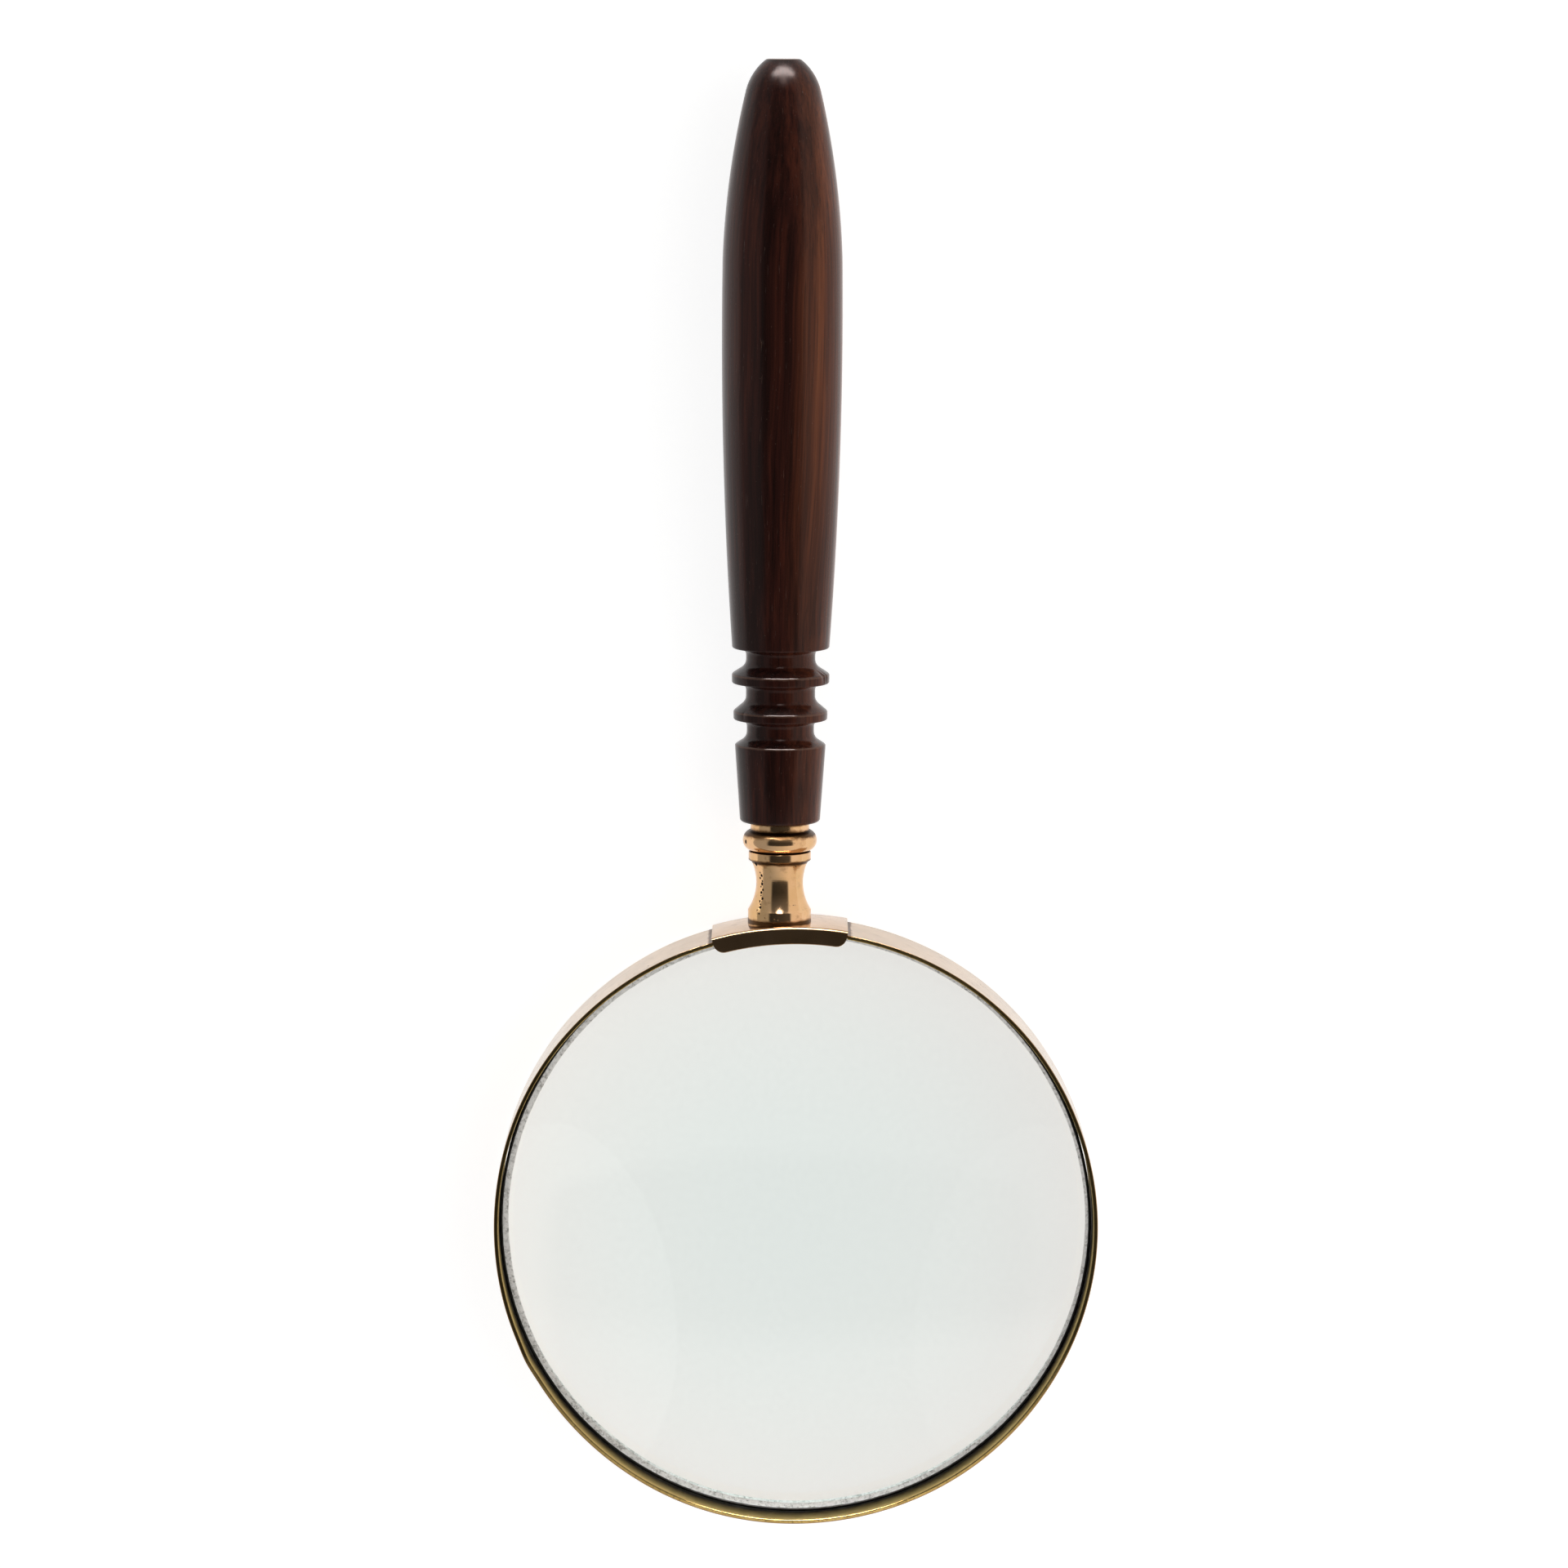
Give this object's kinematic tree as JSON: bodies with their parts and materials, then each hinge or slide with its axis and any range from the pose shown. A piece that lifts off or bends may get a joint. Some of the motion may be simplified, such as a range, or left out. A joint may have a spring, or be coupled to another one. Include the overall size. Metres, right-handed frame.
{
  "type": "hand magnifying glass",
  "caption": "Hand magnifier: biconvex lens in a deep brass hoop, brass saddle and turned pillar, and a long turned rosewood handle.",
  "frame": {"origin": "centre of the hoop's lower flat face, the face the magnifier is laid down on", "axes": "+Z along the lens axis, out of the upper face of the glass; +Y along the handle, from the lens to the handle's end; +X to the right of the handle when seen from above"},
  "size_m": [0.1032, 0.2505, 0.0204],
  "materials": {
    "lens_glass": "polished, with a ground bevel",
    "hoop_brass": "old polish, lightly tarnished and scratched",
    "turned_brass": "old polish with small pits",
    "wire_steel": "dull spring wire",
    "screw_steel": "plain turned steel",
    "rosewood": "dark polished rosewood"
  },
  "bodies": {
    "head": {"lens": "lens_glass", "hoop": "hoop_brass", "front_spring_wire": "wire_steel", "rear_spring_wire": "wire_steel", "saddle": "hoop_brass", "rim_screw": "screw_steel", "pillar": "turned_brass"},
    "spacer": {"spacer_ring": "turned_brass"},
    "handle": {"collar": "turned_brass", "handle_stud": "screw_steel", "handle": "rosewood"}
  },
  "joints": [
    {"name": "spacer_slide", "type": "slide", "parent": "head", "child": "spacer", "axis": [0, 1, 0], "range_m": [0, 0.006]},
    {"name": "handle_turn", "type": "hinge", "parent": "spacer", "child": "handle", "pos_m": [-0.003, 0.0643, 0.0078], "axis": [0, 1, 0], "range_deg": [0, 2700]}
  ],
  "couplings": [
    {"joint": "handle_turn", "follows": "spacer_slide", "rad_per_m": 7853.9}
  ]
}
